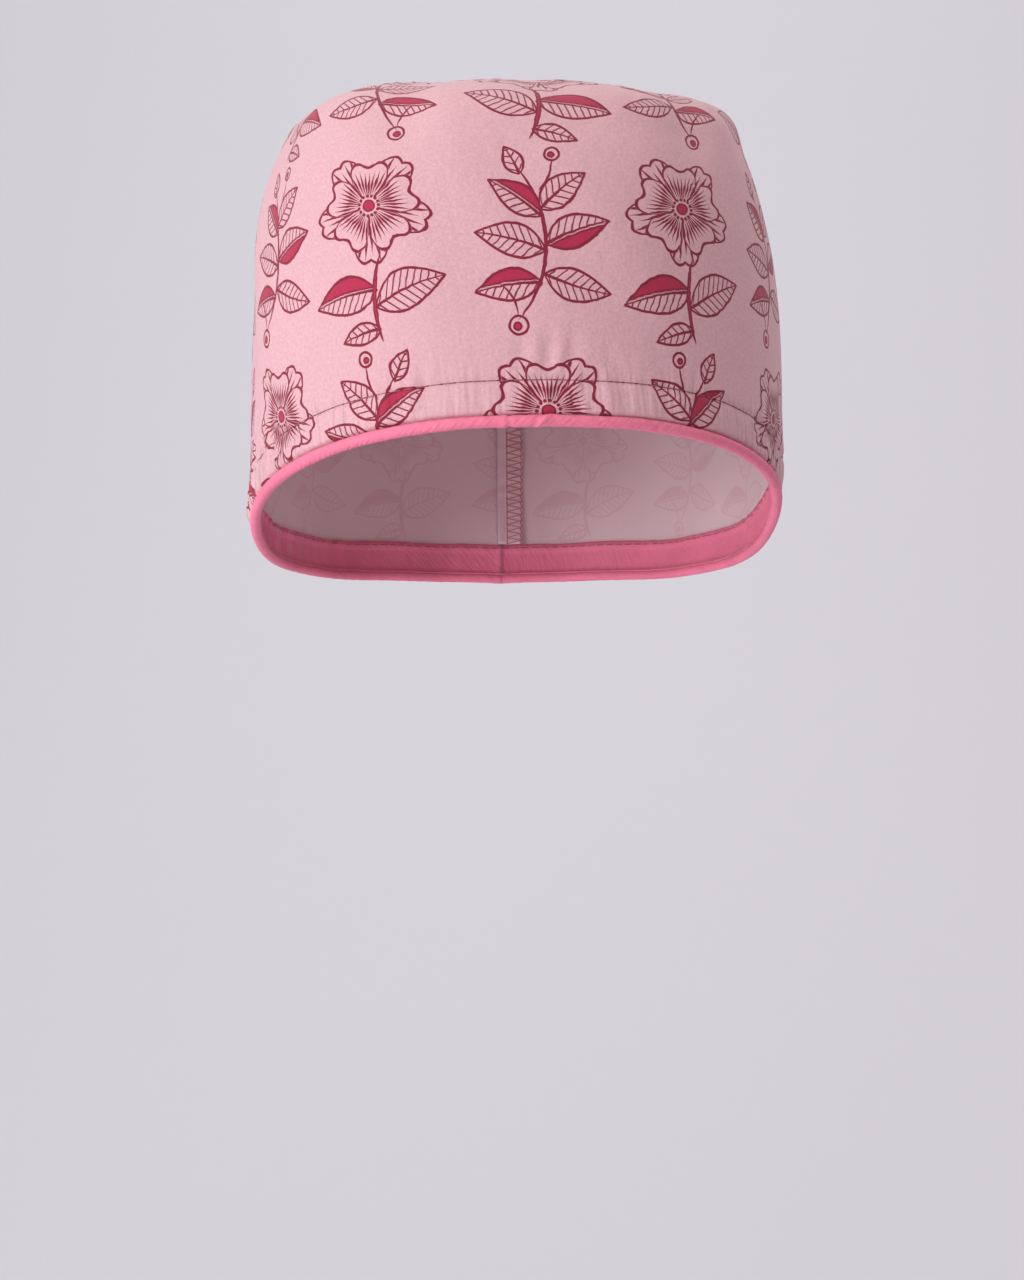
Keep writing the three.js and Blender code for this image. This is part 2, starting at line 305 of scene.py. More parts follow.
        seam = -self.SEAM_SINK * hill(to_seam, self.SEAM_SINK_WIDTH)
        seam = seam + self.SEAM_SWELL * near_seam * (1 - hill(to_seam, 2.2))
        seam = seam + self.seam_pucker(along) * self.SEAM_PUCKER * near_seam
        to_back = (pi - np.abs(turn)) * self.back_reach
        on_band = eased(self.station("seam") - station, -0.5, 2)
        near_back = hill(to_back, self.BACK_SWELL_WIDTH)
        back = -self.BACK_SINK * hill(to_back, self.BACK_SINK_WIDTH)
        back = back + self.BACK_SWELL * near_back * (1 - hill(to_back, 2.0))
        back = back + self.seam_pucker(rise * 1.15 + 40) * self.BACK_PUCKER * near_back
        centre_fade = eased(self.station("apex") - station, 2, 25)
        return (ruck + puff + groove + wander + seam) * centre_fade + back * on_band

    def rise(self, turn, station):
        """The distance of a point above the piping's middle line, square to it."""
        height = self.smooth_point(turn, station)[..., 2] - self.edge_height(turn)
        return height / self.edge_steepness(turn)

    def folded_point(self, turn, station):
        outward = self.normals(self.smooth_point, turn, station)
        depth = self.big_folds(turn, station)
        return self.smooth_point(turn, station) + outward * depth[..., None]

    def cloth_point(self, turn, station, depth=0.0):
        """The finished cloth, moved inwards by a depth."""
        turn, station = np.broadcast_arrays(np.asarray(turn, float), np.asarray(station, float))
        outward = self.normals(self.folded_point, turn, station)
        move = self.fine_folds(turn, station) - depth
        return self.folded_point(turn, station) + outward * move[..., None]


# Meshes

def mesh_piece(
        name, points, faces, materials, slots=None, flat_places=None,
        hem_places=None):
    """A smooth-shaded piece from points in millimetres. flat_places are its points' places on the
    uncut cloth, in millimetres, and are kept as a UV map. So are hem_places, the places along the
    hem and above it."""
    mesh = bpy.data.meshes.new(name)
    mesh.from_pydata((np.asarray(points) * MM).tolist(), [], [list(face) for face in faces])
    for material in materials:
        mesh.materials.append(material)
    if slots is not None:
        mesh.polygons.foreach_set("material_index", np.asarray(slots, dtype=np.int32))
    mesh.polygons.foreach_set("use_smooth", np.ones(len(mesh.polygons), dtype=bool))
    loops = np.zeros(len(mesh.loops), dtype=np.int32)
    mesh.loops.foreach_get("vertex_index", loops)
    for map_name, places in (("Cloth", flat_places), ("Hem", hem_places)):
        if places is not None:
            layer = mesh.uv_layers.new(name=map_name)
            layer.data.foreach_set("uv", np.asarray(places, dtype=np.float32)[loops].ravel())
    mesh.update()
    piece = bpy.data.objects.new(name, mesh)
    bpy.context.scene.collection.objects.link(piece)
    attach(piece, ROOT)
    return piece


def grid_faces(rows, columns, start=0, closed=False, flipped=False):
    """The quads of a grid whose points run along its rows."""
    faces = []
    for i in range(rows - 1):
        for j in range(columns if closed else columns - 1):
            k = (j + 1) % columns
            a, b = start + i * columns + j, start + i * columns + k
            c, d = start + (i + 1) * columns + k, start + (i + 1) * columns + j
            faces.append((d, c, b, a) if flipped else (a, b, c, d))
    return faces


def shell(outer, inner, closed):
    """One closed wall between two grids of points, with its outer, inner and rim faces."""
    rows, columns = outer.shape[:2]
    points = np.concatenate([outer.reshape(-1, 3), inner.reshape(-1, 3)])
    count = rows * columns
    faces = grid_faces(rows, columns, closed=closed)
    backs = grid_faces(rows, columns, start=count, closed=closed, flipped=True)
    rims = []
    steps = columns if closed else columns - 1
    top = (rows - 1) * columns
    for j in range(steps):
        k = (j + 1) % columns
        rims.append((k, j, count + j, count + k))
        rims.append((top + j, top + k, count + top + k, count + top + j))
    if not closed:
        for i in range(rows - 1):
            a, b = i * columns, (i + 1) * columns
            rims.append((a, b, count + b, count + a))
            a, b = a + columns - 1, b + columns - 1
            rims.append((b, a, count + a, count + b))
    slots = [0] * len(faces) + [1] * len(backs) + [2] * len(rims)
    return points, faces + backs + rims, slots


TUBE_ANGLES = (-1.5 * pi, 0.5 * pi)


def tube(path, radii, sideways, upwards, sides, closed):
    """A tube of points round a path, and its faces. Open tubes are capped."""
    angles = spread(*TUBE_ANGLES, sides)
    aside = np.cos(angles)[None, :, None] * sideways[:, None]
    ring = aside + np.sin(angles)[None, :, None] * upwards[:, None]
    points = path[:, None] + ring * np.asarray(radii)[..., None]
    count = len(path)
    faces = []
    for i in range(count if closed else count - 1):
        k = (i + 1) % count
        for j in range(sides):
            m = (j + 1) % sides
            faces.append((i * sides + j, k * sides + j, k * sides + m, i * sides + m))
    if not closed:
        faces.append(tuple(range(sides)))
        faces.append(tuple(reversed(range((count - 1) * sides, count * sides))))
    return points.reshape(-1, 3), faces


def join_parts(parts):
    """Several lists of points and faces as one."""
    points, faces, start = [], [], 0
    for part_points, part_faces in parts:
        points.append(part_points)
        faces += [tuple(index + start for index in face) for face in part_faces]
        start += len(part_points)
    return np.concatenate(points), faces


def spread(start, end, steps):
    """Evenly spaced values from start up to end, without end itself."""
    return np.linspace(start, end, steps, endpoint=False)


def length_along(points, axis):
    """How far each point of a grid lies along the grid's rows or columns."""
    steps = np.linalg.norm(np.diff(points, axis=axis), axis=-1)
    lengths = np.cumsum(steps, axis=axis)
    pad = [(0, 0), (0, 0)]
    pad[axis] = (1, 0)
    return np.pad(lengths, pad)


# Materials

class Value:
    """One number, vector or colour that varies over the surface: a socket with arithmetic."""

    def __init__(self, maker, socket):
        self.maker = maker
        self.socket = socket

    def math(self, operation, *others, clamp=False):
        settings = {"operation": operation, "use_clamp": clamp}
        return self.maker.node("ShaderNodeMath", settings, dict(enumerate((self, *others))))

    def __add__(self, other):
        return self.math("ADD", other)

    def __mul__(self, other):
        return self.math("MULTIPLY", other)

    def __sub__(self, other):
        return self.math("SUBTRACT", other)

    def __rsub__(self, other):
        node = {"operation": "SUBTRACT"}
        return self.maker.node("ShaderNodeMath", node, {0: other, 1: self})

    def __truediv__(self, other):
        return self.math("DIVIDE", other)

    def __abs__(self):
        return self.math("ABSOLUTE")

    __radd__ = __add__
    __rmul__ = __mul__

    def least(self, other):
        return self.math("MINIMUM", other)

    def most(self, other):
        return self.math("MAXIMUM", other)

    def root(self):
        return self.math("SQRT")

    def part(self):
        return self.math("FRACT")

    def whole(self):
        return self.math("FLOOR")

    def clamped(self):
        return self.math("ADD", 0.0, clamp=True)

    def eased(self, start, end):
        """0 at start, 1 at end and smooth between."""
        settings = {"interpolation_type": "SMOOTHSTEP"}
        values = {"Value": self, "From Min": start, "From Max": end}
        return self.maker.node("ShaderNodeMapRange", settings, values)

    def curve(self, stops):
        """A smooth curve of this number, through stops of place and height."""
        return self.maker.curve(self, stops)


class Finish:
    """Makes one material's nodes."""

    def __init__(self, name):
        self.material = bpy.data.materials.new(name)
        self.material.use_nodes = True
        self.tree = self.material.node_tree
        self.tree.nodes.clear()

    def node(self, kind, settings=None, values=None, output=0):
        """One node: its settings are set first, then the values or links of its sockets."""
        made = self.tree.nodes.new(kind)
        for name, setting in (settings or {}).items():
            setattr(made, name, setting)
        for name, value in (values or {}).items():
            if isinstance(value, Value):
                self.tree.links.new(value.socket, made.inputs[name])
            else:
                made.inputs[name].default_value = value
        return Value(self, made.outputs[output])

    def curve(self, value, stops):
        made = self.tree.nodes.new("ShaderNodeFloatCurve")
        points = made.mapping.curves[0].points
        for _ in range(len(stops) - 2):
            points.new(0.5, 0.5)
        for point, (place, height) in zip(points, stops):
            point.location = (place, height)
        made.mapping.update()
        self.tree.links.new(value.socket, made.inputs["Value"])
        return Value(self, made.outputs[0])

    def places(self, uv_map="Cloth"):
        """The place on the flat cloth, in millimetres: across, up, and both as a vector."""
        place = self.node("ShaderNodeUVMap", {"uv_map": uv_map})
        return *self.parts(place), place

    def parts(self, place):
        """The first and second number of a vector."""
        across = self.node("ShaderNodeSeparateXYZ", None, {0: place})
        return across, Value(self, across.socket.node.outputs[1])

    def mix(self, factor, first, second):
        """A colour between two colours."""
        made = self.node("ShaderNodeMix", {"data_type": "RGBA"}, {"Factor": factor}, output=2)
        for socket, colour in zip((6, 7), (first, second)):
            if isinstance(colour, Value):
                self.tree.links.new(colour.socket, made.socket.node.inputs[socket])
            else:
                made.socket.node.inputs[socket].default_value = (*colour, 1)
        return made

    def noise(self, place, scale, detail=2.0, roughness=0.5):
        values = {"Vector": place, "Scale": scale, "Detail": detail, "Roughness": roughness}
        return self.node("ShaderNodeTexNoise", None, values)

    def bump(self, height, distance, strength=1.0, under=None):
        values = {"Height": height, "Distance": distance, "Strength": strength}
        if under is not None:
            values["Normal"] = under
        return self.node("ShaderNodeBump", None, values)

    def surface(self, colour, roughness, normal=None, uniform=()):
        """The finished material of one shader."""
        return self.finished(self.shader(colour, roughness, normal, uniform))

    def surfaces(self, factor, colours, roughness, normal, uniform):
        """The finished material of two shaders that differ in colour: the first where the factor
        is 0, and the second where it is 1."""
        made = self.tree.nodes.new("ShaderNodeMixShader")
        self.tree.links.new(factor.socket, made.inputs[0])
        for place, colour in enumerate(colours):
            shader = self.shader(colour, roughness, normal, uniform)
            self.tree.links.new(shader.outputs[0], made.inputs[place + 1])
        return self.finished(made)

    def shader(self, colour, roughness, normal, uniform):
        """The shader of a surface. Uniform values are set on the shader's own sockets."""
        shader = self.tree.nodes.new("ShaderNodeBsdfPrincipled")
        for name, value in (("Base Color", colour), ("Roughness", roughness), ("Normal", normal)):
            if isinstance(value, Value):
                self.tree.links.new(value.socket, shader.inputs[name])
            elif value is not None:
                shader.inputs[name].default_value = (*value, 1) if name == "Base Color" else value
        for name, value in uniform:
            shader.inputs[name].default_value = value
        return shader

    def finished(self, shader):
        out = self.tree.nodes.new("ShaderNodeOutputMaterial")
        self.tree.links.new(shader.outputs[0], out.inputs["Surface"])
        return self.material


# The print: a flower spray and a leafy sprig in turn, drawn by brush strokes in millimetres. Each
# stroke is a number that is above 0 where there is ink, and about the depth into the ink.

NO_INK = 0.1
THREAD_WIDTH = 0.34


def distance(x, y):
    return (x * x + y * y).root()


def brush_arc(x, y, row):
    """A curved stroke, thickest at its middle: centre, radius, first and last angle, half width."""
    centre_x, centre_y, radius, start, end, half = row
    middle, reach = radians((start + end) / 2), radians(abs(end - start) / 2)
    dx, dy = x - centre_x, y - centre_y
    r = distance(dx, dy)
    along = (dx * cos(middle) + dy * sin(middle)) / r.most(0.01)
    full = ((along - cos(reach)) * (1 / (1 - cos(reach)))).most(0.0).root()
    return full * half - abs(r - radius) - NO_INK


def leaf(x, y, row, half_filled=False):
    """A leaf with its rib and veins: root, angle, length, half width and bend."""
    root_x, root_y, angle, long, half, bend = row
    turn = radians(angle)
    dx, dy = x - root_x, y - root_y
    u = dx * (cos(turn) / long) + dy * (sin(turn) / long)
    belly = u * (1 - u)
    v = dy * cos(turn) - dx * sin(turn) - belly * bend
    side = abs(v)
    inside = belly * (5.2 - 2.4 * u) * half - side
    outline = (0.26 - abs(inside) * 0.9).least(belly * 60 + 0.3)
    rib = ((0.36 - 0.26 * u) - side).least(inside + 0.2)
    ink = outline.most(rib)
    if half_filled:
        ink = ink.most((v - 0.6).least(inside))
        side = side.most(v * 9)
    slant = u * (long / 1.9) - side * 0.36
    vein = (0.13 - abs(slant.part() - 0.5) * 1.5).least(inside * 0.35 - 0.12)
    return ink.most(vein)


PETAL_EDGE = ((0, 0.84), (0.14, 0.87), (0.38, 0.97), (0.62, 0.94), (0.82, 0.78), (1, 0.5))
BACK_PETAL_EDGE = ((0, 0.42), (0.4, 0.79), (0.6, 0.93), (0.8, 1.0), (0.92, 0.975), (1, 0.94))


def bloom(x, y, centre_x, centre_y, petals, reach):
    """An open flower seen a little from below: two rounds of petals, veins, a middle and stamens."""
    dx, dy = x - centre_x, (y - centre_y) * 1.16
    r = distance(dx, dy)
    theta = dy.math("ARCTAN2", dx) * (1 / (2 * pi))
    fold = abs((theta * petals + 0.25).part() - 0.5) * 2
    edge = fold.curve(PETAL_EDGE) * reach
    back = fold.curve(BACK_PETAL_EDGE) * (reach * 1.2)
    ink = 0.3 - abs(r - edge) * 0.75
    ink = ink.most((0.27 - abs(r - back) * 0.75).least(r - edge - 0.3))
    veins = petals * 9
    fan = abs((theta * veins).part() - 0.5) * r * (2 * pi / veins)
    shade = ((r - edge) * -0.09 + 0.42 - fan).least(r - edge - 0.5).least(back - r - 0.5)
    gap = (1 - fold) * r * (pi / petals)
    split = (0.28 - gap).least(r - reach * 0.22).least(edge - r)
    out = abs(r - reach * 0.42 - fold * (reach * 0.16))
    lines = (0.3 - out * (0.3 / (reach * 0.26)) - fan).least(0.3)
    stamens = petals * 3
    across = abs((theta * stamens).part() - 0.5) * r * (2 * pi / stamens)
    dots = 0.42 - distance(across, r - reach * 0.21)
    return ink.most(shade).most(split).most(lines).most(reach * 0.13 - r).most(dots)


def berry(x, y, row):
    centre_x, centre_y, radius = row
    ring = 0.27 - abs(distance(x - centre_x, y - centre_y) - radius)
    seed = radius * 0.5 - distance(x - centre_x - radius * 0.12, y - centre_y + radius * 0.12)
    return ring.most(seed)


def darkest(strokes):
    ink = strokes[0]
    for stroke in strokes[1:]:
        ink = ink.most(stroke)
    return ink


MOTIF_SCALE = 1.13
SPRAY_STEM = (-26, -13, 27, -22, 22, 0.7)
SPRAY_LEAVES = (
    ((0.2, -11, -12, 18.4, 4.3, 3.0), True),
    ((0.6, -15, 158, 18.6, 4.5, -3.4), False),
    ((-0.4, -20, -16, 11, 2.4, 1.6), False),
)
SPRIG_STROKES = (
    (26, 0, 28, 141, 222, 0.55),
    (14.5, -18, 9.5, 125, 178, 0.35),
    (6.5, 19, 10.5, 176, 226, 0.35),
)
SPRIG_LEAVES = (
    ((-1.2, -8, 196, 16.0, 3.6, 2.4), False),
    ((-1.9, -1, 160, 16.0, 3.7, -2.4), True),
    ((-1.0, 7, 140, 14.0, 3.4, -2.0), False),
    ((-0.6, -10, -8, 15.5, 3.6, 2.4), True),
    ((-1.9, -2.5, 14, 16.5, 3.8, 2.4), False),
    ((-1.2, 5.5, 36, 14.5, 3.4, 2.0), True),
    ((3.4, 15.6, 64, 8.0, 2.2, 1), False),
)
SPRIG_BERRIES = ((5.0, -19.7, 2.1), (-4.1, 20.8, 1.7))


def spray(x, y):
    strokes = [bloom(x, y, 1.4, 8.6, 5, 13.0), brush_arc(x, y, SPRAY_STEM)]
    return darkest(strokes + [leaf(x, y, row, filled) for row, filled in SPRAY_LEAVES])


def sprig(x, y):
    strokes = [brush_arc(x, y, row) for row in SPRIG_STROKES]
    strokes += [leaf(x, y, row, filled) for row, filled in SPRIG_LEAVES]
    return darkest(strokes + [berry(x, y, row) for row in SPRIG_BERRIES])


def print_ink(finish, sizes, shift):
    """Which of the two motifs a place of the cloth belongs to, 0 or 1, and for each motif how much
    ink lies there, 0 to 1, and how far the place is inside a broad stroke. The motifs take turns
    like the fields of a chessboard, and every other row is mirrored."""
    across, up, place = finish.places()
    wobble = finish.noise(place, 0.45, 1.0)
    wide, tall = sizes.motif_width / MM, sizes.motif_height / MM
    column = (across + wobble * 0.6 + shift[0]) * (1 / wide)
    row = (up + wobble * -0.5 + shift[1]) * (1 / tall)
    odd_row = (row.whole() * 0.5).part() * 2
    odd_field = ((row.whole() + column.whole()) * 0.5).part() * 2
    x = (column.part() - 0.5) * (wide / MOTIF_SCALE) * (1 - odd_row * 2)
    y = (row.part() - 0.5) * (tall / MOTIF_SCALE)
    return odd_field, [
        ((ink * (1 / 0.14) + 0.8).clamped(), ink.eased(0.25, 0.55))
        for ink in (spray(x, y), sprig(x, y))
    ]


def woven(finish, place, thread, depth, under=None):
    """The bump of a plain weave whose threads lie a thread's width apart, with a little fluff."""
    across, up = finish.parts(place)
    over = (across * (pi / thread)).math("SINE")
    under_thread = (up * (pi / thread)).math("SINE")
    weave = over * under_thread * 0.5 + 0.5
    slub = finish.noise(place, 0.9 / thread, 2.0, 0.6)
    return finish.bump(weave * 0.7 + slub * 0.6, depth, 0.55, under)


def hem_pleats(finish, stitch_rise):
    """The bump of the tiny pleats that the stitches draw up, most at the sides."""
    along, rise, _ = finish.places("Hem")
    drawn_out = {0: along * 0.42 + rise * 0.03, 1: rise * 0.045}
    stretched = finish.node("ShaderNodeCombineXYZ", None, drawn_out)
    pleats = finish.noise(stretched, 1.0, 1.0).eased(0.3, 0.7)
    sides = abs(along).eased(25, 90) * 0.75 + 0.25
    near = rise.eased(stitch_rise + 8, stitch_rise - 1) * rise.eased(0.5, 4)
    return finish.bump(pleats * sides * near, 0.9 * MM, 0.9)


def printed_cotton(name, sizes, shift, pleated=False):
    """The right side of the band and crown. A pleated one is drawn up along its hem."""
    finish = Finish(name)
    _, _, place = finish.places()
    odd_field, motifs = print_ink(finish, sizes, shift)
    cloud = finish.noise(place, 0.03, 3.0).eased(0.3, 0.7)
    grain = finish.noise(place, 1.1, 3.0, 0.8).eased(0.32, 0.68)
    slubs = finish.noise(place, 0.4, 3.0, 0.7).eased(0.3, 0.7)
    pink = finish.mix(cloud, sizes.cloth_colour, [c * 0.95 for c in sizes.cloth_colour])
    pink = finish.mix(slubs, pink, [c * 0.92 for c in sizes.cloth_colour])
    pink = finish.mix(grain, [c * 0.8 for c in sizes.cloth_colour], pink)
    outline = [c * 0.5 for c in sizes.ink_colour]
    full = finish.mix(grain, [c * 0.88 for c in sizes.ink_colour], sizes.ink_colour)
    colours = [finish.mix(ink, pink, finish.mix(broad, outline, full)) for ink, broad in motifs]
    crinkle = finish.noise(place, 0.16, 3.0, 0.66)
    under = hem_pleats(finish, sizes.stitch_height / MM) if pleated else None
    normal = woven(finish, place, THREAD_WIDTH, 0.09 * MM, finish.bump(crinkle, 0.6 * MM, 0.75, under))
    rough = finish.noise(place, 0.25, 2.0) * 0.12 + 0.76
    uniform = [("Sheen Weight", 0.2), ("Sheen Roughness", 0.45), ("Specular IOR Level", 0.3)]
    return finish.surfaces(odd_field, colours, rough, normal, uniform)


def wrong_side(tone):
    """The paler colour of a printed cloth's wrong side."""
    return [c * 0.6 + 0.38 * max(tone) for c in tone]


def cotton_back(name, sizes, shift):
    """The wrong side of the printed cloth, where the print shows through as a pale ghost."""
    finish = Finish(name)
    _, _, place = finish.places()
    odd_field, motifs = print_ink(finish, sizes, shift)
    grain = finish.noise(place, 2.0, 2.0, 0.7)
    back = wrong_side(sizes.cloth_colour)
    pale = finish.mix(grain.eased(0.2, 0.8), back, [c * 0.94 for c in back])
    ghost = [0.7 * b + 0.3 * i for b, i in zip(back, sizes.ink_colour)]
    colours = [finish.mix(ink * 0.55, pale, ghost) for ink, _ in motifs]
    normal = woven(finish, place, THREAD_WIDTH, 0.07 * MM)
    uniform = [("Sheen Weight", 0.2), ("Sheen Roughness", 0.5), ("Specular IOR Level", 0.25)]
    return finish.surfaces(odd_field, colours, 0.86, normal, uniform)


def plain_cotton(name, tone, thread=THREAD_WIDTH, bias=False, sheen=0.06):
    """Plain dyed cotton. Cut on the bias, its threads run aslant."""
    finish = Finish(name)
    _, _, place = finish.places()
    grain = finish.noise(place, 1.6, 2.0, 0.7)
    cloud = finish.noise(place, 0.06, 3.0).eased(0.3, 0.7)
    base = finish.mix(cloud, tone, [c * 0.9 for c in tone])
    under = None
    colour = finish.mix(grain.eased(0.35, 0.75) * 0.35, base, [min(1, c * 1.12) for c in tone])
    if bias:
        turned = {"rotation_type": "Z_AXIS"}
        aslant = {"Vector": place, "Angle": radians(45)}
        place = finish.node("ShaderNodeVectorRotate", turned, aslant)
        drawn_out = {0: place, 1: (0.95, 0.16, 1)}
        ribs = finish.node("ShaderNodeVectorMath", {"operation": "MULTIPLY"}, drawn_out)
        under = finish.bump(finish.noise(ribs, 1.0, 2.0).eased(0.25, 0.75), 0.22 * MM, 0.8)
    normal = woven(finish, place, thread, 0.05 * MM, under)
    rough = grain * 0.1 + 0.62
    uniform = [("Sheen Weight", sheen), ("Sheen Roughness", 0.35), ("Specular IOR Level", 0.35)]
    return finish.surface(colour, rough, normal, uniform)


def thread_finish(name, tone):
    """Spun polyester thread: two plies that wind round each other."""
    finish = Finish(name)
    across, up, place = finish.places()
    twist = ((across * 1.1 + up * 2.2) * (2 * pi)).math("SINE") * 0.5 + 0.5
    colour = finish.mix(twist * 0.7, tone, [c * 0.7 for c in tone])
    normal = finish.bump(twist, 0.05 * MM, 0.6)
    rough = finish.noise(place, 3.0) * 0.15 + 0.4
    return finish.surface(colour, rough, normal, [("Specular IOR Level", 0.4)])


# Sizes and colours that a user would change

class ScrubCapSizes(bpy.types.PropertyGroup):
    half_width: bpy.props.FloatProperty(
        name="Half width", description="Half the width over the ears",
        default=0.0805, unit="LENGTH")
    front_reach: bpy.props.FloatProperty(
        name="Front reach", description="From the origin to the brow",
        default=0.097, unit="LENGTH")
    back_reach: bpy.props.FloatProperty(
        name="Back reach", description="From the origin to the back seam",
        default=0.103, unit="LENGTH")
    crown_height: bpy.props.FloatProperty(
        name="Crown height", description="From the brow edge to the top",
        default=0.104, unit="LENGTH")
    nape_drop: bpy.props.FloatProperty(
        name="Nape drop", description="How far the nape lies below the brow",
        default=0.047, unit="LENGTH")
    peak_turn: bpy.props.FloatProperty(
        name="Brow peak", description="Degrees from the middle to the top of the brow's arch",
        default=2.5)
    fold_depth: bpy.props.FloatProperty(
        name="Fold depth", description="Depth of the deepest dents",
        default=0.0024, unit="LENGTH")
    cloth_thickness: bpy.props.FloatProperty(
        name="Cloth", description="Thickness of the printed cloth",
        default=0.0005, unit="LENGTH")
    piping_diameter: bpy.props.FloatProperty(
        name="Piping", description="Diameter of the corded piping",
        default=0.0032, unit="LENGTH")
    facing_height: bpy.props.FloatProperty(
        name="Facing", description="Height of the facing inside the hem",
        default=0.010, unit="LENGTH")
    stitch_height: bpy.props.FloatProperty(
        name="Stitch row", description="From the middle of the piping to the stitches",
        default=0.0105, unit="LENGTH")
    stitch_length: bpy.props.FloatProperty(
        name="Stitch", description="From one needle hole to the next",
        default=0.0034, unit="LENGTH")
    thread_diameter: bpy.props.FloatProperty(
        name="Thread", description="Diameter of the sewing thread",
        default=0.00032, unit="LENGTH")
    motif_width: bpy.props.FloatProperty(
        name="Motif width", description="Width of one field of the print",
        default=0.043, unit="LENGTH")
    motif_height: bpy.props.FloatProperty(
        name="Motif height", description="Height of one field of the print",
        default=0.054, unit="LENGTH")
    cloth_colour: bpy.props.FloatVectorProperty(
        name="Cloth colour", description="Ground of the print",
        default=(0.79, 0.437, 0.48), subtype="COLOR")
    ink_colour: bpy.props.FloatVectorProperty(
        name="Ink colour", description="Colour of the print",
        default=(0.45, 0.022, 0.068), subtype="COLOR")
    piping_colour: bpy.props.FloatVectorProperty(
        name="Piping colour", description="Colour of the piping",
        default=(0.87, 0.2, 0.32), subtype="COLOR")
    thread_colour: bpy.props.FloatVectorProperty(
        name="Thread colour", description="Colour of the topstitching",
        default=(0.4, 0.13, 0.15), subtype="COLOR")


def cap_sizes():
    return bpy.context.scene.scrub_cap_sizes


# Pieces

SEAM_SLIT = 0.05
BAND_COLUMNS = 480
HEM_RISES = (
    1.3, 1.5, 1.7, 1.9, 2.15, 2.45, 2.8, 3.3, 4, 5, 6, 7, 8, 9, 9.6, 10.1, 10.5, 10.9, 11.4, 12,
    13, 14.2, 15.6, 17,
)
HEM_ROWS = len(HEM_RISES)
WALL_ROWS = 28
SHOULDER_ROWS = 34
CROWN_COLUMNS = 300
CROWN_ROWS = 34
PRINT_SHIFT = (19.0, 33.0)
CROWN_PRINT_SHIFT = (4.0, 11.0)
CREASE_DEPTH = 1.35
CREASE_RISE = 1.35
CREASE_WIDTH = 0.75


def rolled_in(rise):
    """How far the cloth turns in where it is sewn to the piping."""
    return CREASE_DEPTH * hill(np.maximum(rise - CREASE_RISE, 0), CREASE_WIDTH)


def band_grid(form):
    """The turns and stations of the band's points, and how far they turn in at the piping."""
    slit = SEAM_SLIT / form.back_reach
    turns = np.linspace(-pi + slit, pi - slit, BAND_COLUMNS + 1)
    rises = np.array(HEM_RISES)
    hem = np.array([form.station_above_edge(turns, rise) for rise in rises])
    share = np.linspace(0, 1, WALL_ROWS + 1)[1:, None]
    wall = hem[-1] * (1 - share) + form.station("high") * share
    seam = form.station("seam") - SEAM_SLIT
    shoulder = np.linspace(form.station("high"), seam, SHOULDER_ROWS + 1)[1:, None] + 0 * turns
    stations = np.concatenate([hem, wall, shoulder])
    turn_in = np.zeros(len(stations))
    turn_in[:HEM_ROWS] = rolled_in(rises)
    return np.broadcast_to(turns, stations.shape), stations, turn_in[:, None]


def band_places(form, turns, stations):
    """Where each point of the band lies on the flat cloth. The cloth lies without stretch at the
    front and the back, and is eased in at the sides, where a real band is gathered to the crown."""
    plain = form.smooth_point(turns, stations)
    along = length_along(plain, 1)
    middle = along.shape[1] // 2
    along = along - along[:, middle:middle + 1]
    half = np.abs(along[:, -1:])
    widest = half.max()
    eased_in = (widest - half) * eased(np.abs(np.degrees(turns)), 40, 140)
    across = along + np.sign(along) * eased_in
    up = length_along(plain, 0) + plain[0, :, 2]
    return np.stack([across, up], -1)


class SCRUBCAP_OT_band(bpy.types.Operator):
    """Builds the side band of printed cloth"""

    bl_idname = "scrubcap.band"
    bl_label = "Side band"

    def execute(self, context):
        sizes, form = cap_sizes(), Form(cap_sizes())
        turns, stations, turn_in = band_grid(form)
        outer = form.cloth_point(turns, stations, turn_in)
        inner = form.cloth_point(turns, stations, turn_in + sizes.cloth_thickness / MM)
        points, faces, slots = shell(outer, inner, closed=False)
        places = band_places(form, turns, stations)
        both = np.concatenate([places.reshape(-1, 2)] * 2)
        plain = form.smooth_point(turns, stations)
        along = length_along(plain, 1)
        along = along - along[:, along.shape[1] // 2, None]
        hem = np.stack([along, np.minimum(form.rise(turns, stations), 60)], -1)
        front = printed_cotton("printed_cotton", sizes, PRINT_SHIFT, pleated=True)
        back = cotton_back("cotton_back", sizes, PRINT_SHIFT)
        band = mesh_piece(
            "side_band_cloth", points, faces, [front, back, back], slots, both,
            np.concatenate([hem.reshape(-1, 2)] * 2))
        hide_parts("side_band")
        return {"FINISHED"}


